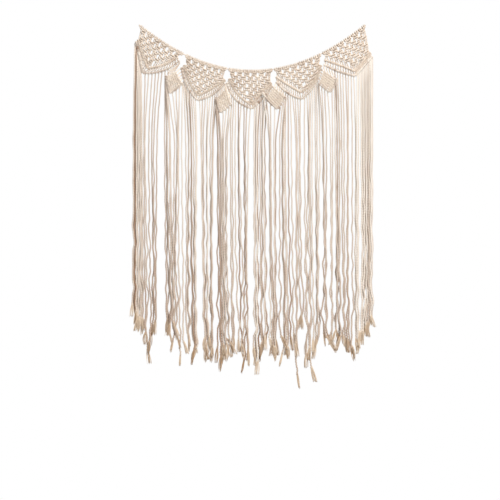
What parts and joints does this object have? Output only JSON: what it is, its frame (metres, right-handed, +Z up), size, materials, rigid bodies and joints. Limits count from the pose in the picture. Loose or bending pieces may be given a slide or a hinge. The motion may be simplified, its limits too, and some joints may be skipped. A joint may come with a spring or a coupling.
{
  "type": "macrame wall hanging",
  "caption": "Long knotted cotton cord hanging on a sagging header cord, with pointed net panels, small diamond leaves and a long free fringe.",
  "frame": {"origin": "middle of the bounding box of the whole hanging", "axes": "+Z up along the fringe, +X to the right seen from the front, -Y towards the viewer, +Y towards the wall"},
  "size_m": [0.6778, 0.0178, 1.0182],
  "materials": {
    "cotton_header": "matte twisted cotton cord",
    "cotton_knotted": "matte knotted cotton cord",
    "cotton_plied": "matte three-ply cotton cord"
  },
  "bodies": {
    "root": {"header_cord": "cotton_header", "panel_1": "cotton_knotted", "panel_2": "cotton_knotted", "panel_3": "cotton_knotted", "panel_4": "cotton_knotted", "panel_5": "cotton_knotted", "fringe_1": "cotton_plied", "fringe_2": "cotton_plied", "fringe_3": "cotton_plied", "fringe_4": "cotton_plied", "fringe_5": "cotton_plied", "leaf_1": "cotton_knotted", "leaf_2": "cotton_knotted", "leaf_3": "cotton_knotted", "leaf_4": "cotton_knotted", "leaf_fringe_1": "cotton_plied", "leaf_fringe_2": "cotton_plied", "leaf_fringe_3": "cotton_plied", "leaf_fringe_4": "cotton_plied"}
  },
  "joints": []
}
